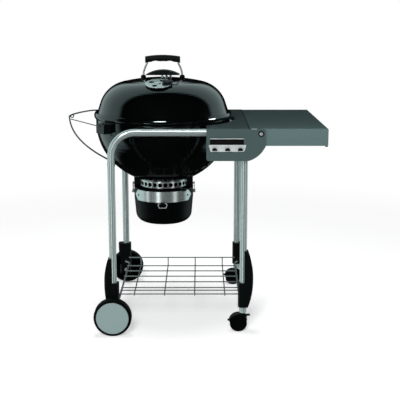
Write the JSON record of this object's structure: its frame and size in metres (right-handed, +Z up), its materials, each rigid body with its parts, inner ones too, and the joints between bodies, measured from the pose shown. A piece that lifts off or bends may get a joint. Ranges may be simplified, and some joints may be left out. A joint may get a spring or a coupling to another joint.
{
  "type": "kettle charcoal grill",
  "caption": "Round lidded charcoal grill on a wheeled tube cart, with an ash pot, lid holder, fixed shelf, folding side table and wire rack.",
  "frame": {"origin": "middle of the footprint on the floor", "axes": "+Z up, -Y towards the cook, +X towards the folding table"},
  "size_m": [1.0601, 0.76, 1.1035],
  "materials": {
    "enamel": "gloss porcelain enamel",
    "black_plastic": "matt moulded nylon",
    "rubber_tyre": "matt moulded tyre",
    "tube_silver": "satin silver powder coat",
    "slate_paint": "slate grey textured powder coat",
    "plated_wire": "plated steel wire",
    "rack_wire": "grey coated wire",
    "black_wire": "black coated wire",
    "aluminium": "brushed aluminium",
    "stainless": "brushed stainless",
    "bright_fastener": "bright zinc",
    "black_steel": "black coated steel",
    "cap_grey": "matt grey moulded cap",
    "grip_nylon": "satin black nylon"
  },
  "bodies": {
    "cart": {"bowl": "enamel", "grate_tabs": "black_steel", "charcoal_grate": "plated_wire", "cooking_grate": "plated_wire", "vent_ring": "aluminium", "catcher_brackets": "black_steel", "ash_pot": "enamel", "pot_band": "aluminium", "clip_pins": "plated_wire", "pull_block": "black_plastic", "front_frame": "tube_silver", "rear_frame": "tube_silver", "bowl_brackets": "black_steel", "bracket_bolts": "bright_fastener", "sleeve_front_left": "black_plastic", "sleeve_rear_left": "black_plastic", "sleeve_front_right": "black_plastic", "sleeve_rear_right": "black_plastic", "rack": "rack_wire", "rack_rails": "rack_wire", "wheel_axles": "bright_fastener", "caster_sockets": "black_plastic", "side_shelf": "slate_paint", "front_panel": "slate_paint", "rear_panel": "slate_paint", "shelf_clips": "black_plastic", "tool_recess": "slate_paint", "hook_rail": "stainless", "pivot_bolts": "bright_fastener", "pivot_washers": "black_plastic", "holder_wire": "black_wire", "holder_stay": "plated_wire", "holder_brackets": "black_steel"},
    "lid": {"lid": "enamel", "handle_rod": "bright_fastener", "handle_grip": "grip_nylon", "handle_feet": "black_plastic", "heat_shield": "black_steel", "shield_spacer": "bright_fastener", "damper_rivet": "bright_fastener"},
    "damper": {"damper_disc": "aluminium", "damper_tab": "grip_nylon"},
    "sweeper": {"sweeper_blades": "plated_wire", "sweeper_lever": "black_plastic"},
    "left_clip": {"clip_left": "plated_wire"},
    "right_clip": {"clip_right": "plated_wire"},
    "pull": {"pull_ring": "plated_wire"},
    "table": {"folding_table": "slate_paint", "table_bumpers": "black_plastic"},
    "front_wheel": {"tyre_front": "rubber_tyre", "hub_cap_front": "cap_grey"},
    "rear_wheel": {"tyre_rear": "rubber_tyre", "hub_cap_rear": "cap_grey"},
    "front_caster": {"caster_fork_front": "black_plastic"},
    "rear_caster": {"caster_fork_rear": "black_plastic"},
    "front_caster_wheels": {"caster_wheels_front": "rubber_tyre"},
    "rear_caster_wheels": {"caster_wheels_rear": "rubber_tyre"},
    "front_brake": {"brake_front": "black_plastic"},
    "rear_brake": {"brake_rear": "black_plastic"}
  },
  "joints": [
    {"name": "lid_lift", "type": "slide", "parent": "cart", "child": "lid", "axis": [0, 0, 1], "range_m": [0, 0.4]},
    {"name": "damper_turn", "type": "hinge", "parent": "lid", "child": "damper", "pos_m": [-0.13686, -0.1647, 0.99585], "axis": [-0.0159, -0.2619, 0.965], "range_deg": [0, 45]},
    {"name": "sweeper_turn", "type": "hinge", "parent": "cart", "child": "sweeper", "pos_m": [-0.12687, 0, 0.54407], "axis": [0, 0, 1], "range_deg": [-25, 25]},
    {"name": "left_clip_swing", "type": "hinge", "parent": "cart", "child": "left_clip", "pos_m": [-0.25938, 0, 0.52007], "axis": [0, -1, 0], "range_deg": [0, 80]},
    {"name": "right_clip_swing", "type": "hinge", "parent": "cart", "child": "right_clip", "pos_m": [0.00562, 0, 0.52007], "axis": [0, 1, 0], "range_deg": [0, 80]},
    {"name": "pull_swing", "type": "hinge", "parent": "cart", "child": "pull", "pos_m": [-0.12687, -0.132, 0.49107], "axis": [-1, 0, 0], "range_deg": [0, 95]},
    {"name": "table_fold", "type": "hinge", "parent": "cart", "child": "table", "pos_m": [0.26813, 0, 0.815], "axis": [0, 1, 0], "range_deg": [0, 90]},
    {"name": "front_wheel_spin", "type": "hinge", "parent": "cart", "child": "front_wheel", "pos_m": [-0.32088, -0.358, 0.076], "axis": [0, 1, 0], "continuous": true},
    {"name": "rear_wheel_spin", "type": "hinge", "parent": "cart", "child": "rear_wheel", "pos_m": [-0.32088, 0.358, 0.076], "axis": [0, 1, 0], "continuous": true},
    {"name": "front_caster_swivel", "type": "hinge", "parent": "cart", "child": "front_caster", "pos_m": [0.20413, -0.308, 0.09], "axis": [0, 0, 1], "continuous": true},
    {"name": "rear_caster_swivel", "type": "hinge", "parent": "cart", "child": "rear_caster", "pos_m": [0.20413, 0.308, 0.09], "axis": [0, 0, 1], "continuous": true},
    {"name": "front_caster_spin", "type": "hinge", "parent": "front_caster", "child": "front_caster_wheels", "pos_m": [0.18613, -0.308, 0.035], "axis": [0, 1, 0], "continuous": true},
    {"name": "rear_caster_spin", "type": "hinge", "parent": "rear_caster", "child": "rear_caster_wheels", "pos_m": [0.18613, 0.308, 0.035], "axis": [0, 1, 0], "continuous": true},
    {"name": "front_brake_press", "type": "hinge", "parent": "front_caster", "child": "front_brake", "pos_m": [0.21813, -0.308, 0.065], "axis": [0, 1, 0], "range_deg": [0, 14]},
    {"name": "rear_brake_press", "type": "hinge", "parent": "rear_caster", "child": "rear_brake", "pos_m": [0.21813, 0.308, 0.065], "axis": [0, 1, 0], "range_deg": [0, 14]}
  ]
}
